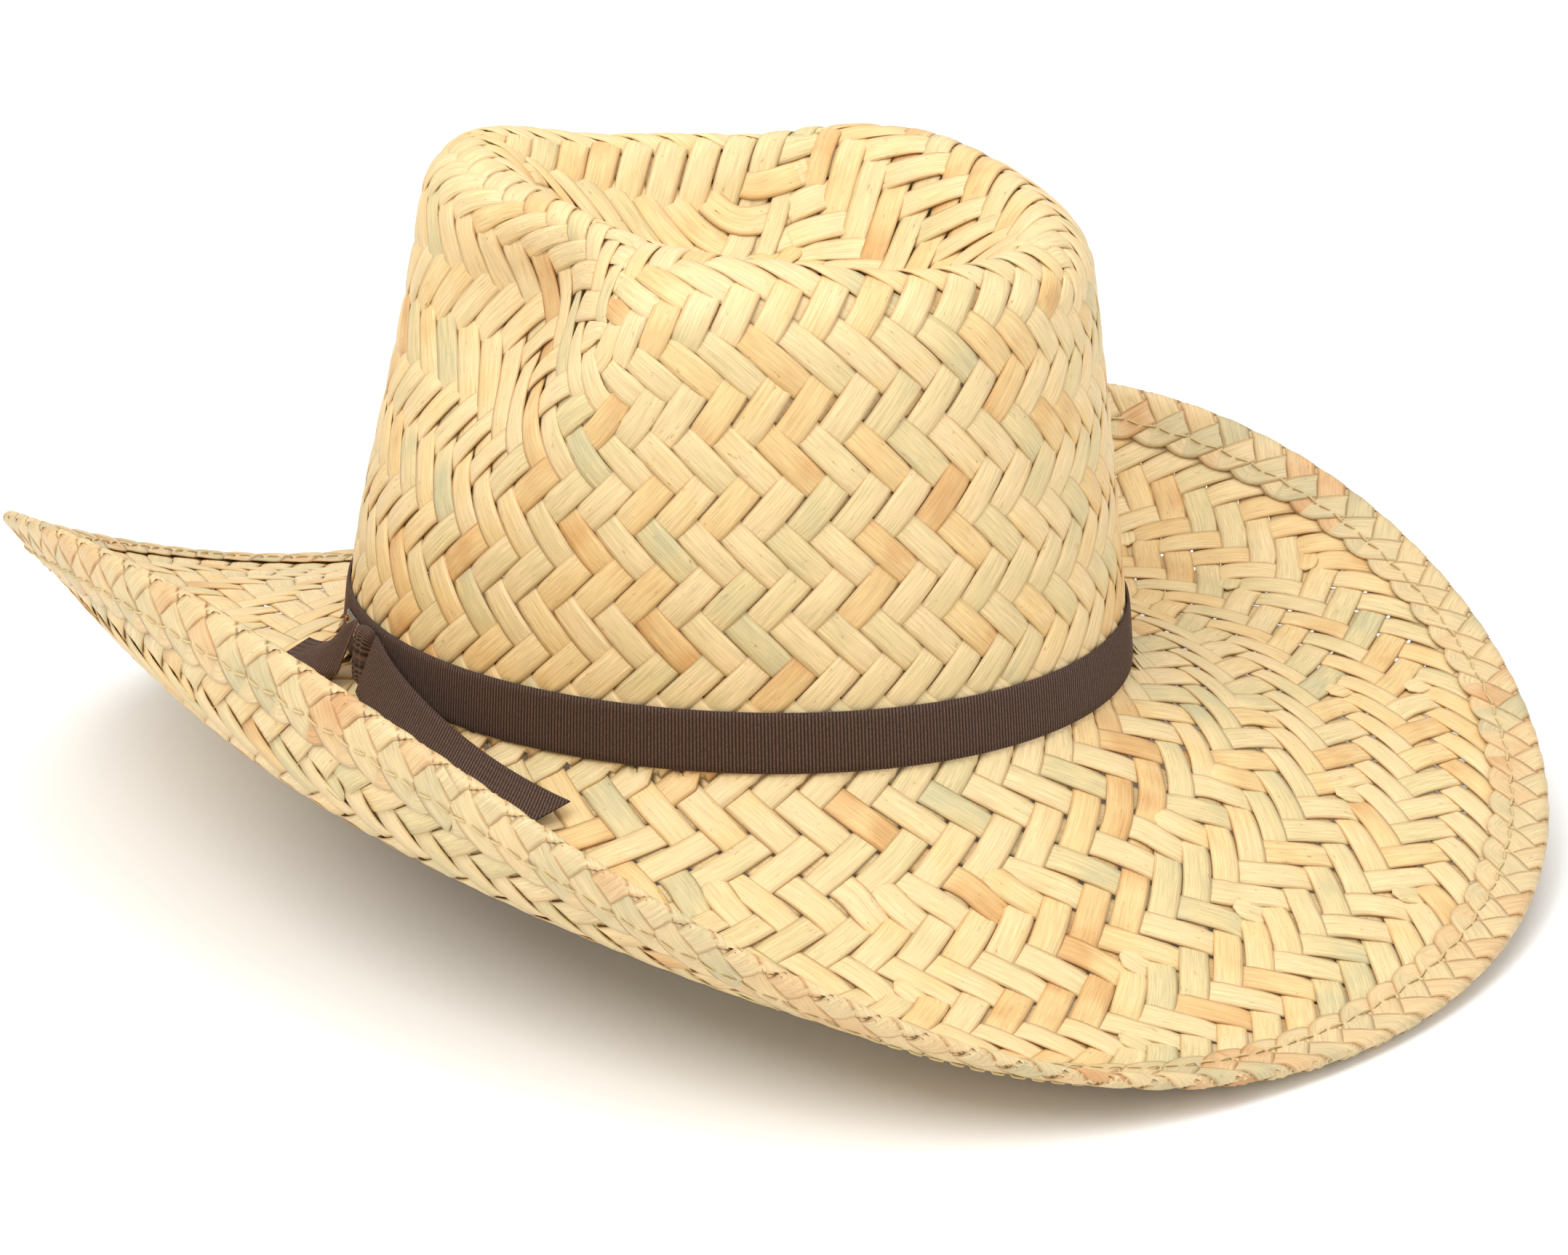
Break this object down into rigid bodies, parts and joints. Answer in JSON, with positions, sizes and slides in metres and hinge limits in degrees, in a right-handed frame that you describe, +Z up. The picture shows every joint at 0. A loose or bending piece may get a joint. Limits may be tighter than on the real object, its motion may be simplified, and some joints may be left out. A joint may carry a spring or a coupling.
{
  "type": "cowboy hat",
  "caption": "Plaited straw cowboy hat with a pinched teardrop crown, a rolled brim with a braided edge, and a knotted ribbon band with loose tails.",
  "frame": {"origin": "middle of the head opening, at the height where the crown meets the brim", "axes": "+Z up through the crown, the front of the hat faces -Y, +X is the wearer's left"},
  "size_m": [0.3395, 0.4009, 0.1758],
  "materials": {
    "straw": "satin plaited straw",
    "edge_straw": "satin flat straw braid",
    "wire_steel": "drawn wire",
    "thread": "matt cotton thread",
    "grosgrain": "matt ribbed ribbon",
    "dark_metal": "dark satin",
    "copper": "satin copper",
    "band_cloth": "matt woven band",
    "label_cloth": "matt woven label"
  },
  "bodies": {
    "hat": {"straw_crown_lower": "straw", "straw_crown_upper": "straw", "straw_brim": "straw", "edge_braid": "edge_straw", "edge_wire": "wire_steel", "edge_seam_upper": "thread", "edge_seam_lower": "thread", "hatband_ribbon": "grosgrain", "ribbon_knot": "grosgrain", "badge_plate": "dark_metal", "badge_rivets": "copper", "sweatband": "band_cloth", "sweatband_seam": "thread", "sweatband_join_tape": "band_cloth", "size_label": "label_cloth"},
    "long_tail": {"ribbon_tail_long": "grosgrain"},
    "short_tail": {"ribbon_tail_short": "grosgrain"}
  },
  "joints": [
    {"name": "long_tail_lift", "type": "hinge", "parent": "hat", "child": "long_tail", "pos_m": [0.0729, -0.0669, 0.009], "axis": [0.4657, -0.3295, -0.8213], "range_deg": [0, 40]},
    {"name": "short_tail_lift", "type": "hinge", "parent": "hat", "child": "short_tail", "pos_m": [0.0655, -0.0764, 0.0093], "axis": [-0.4246, 0.3815, 0.8211], "range_deg": [0, 70]}
  ]
}
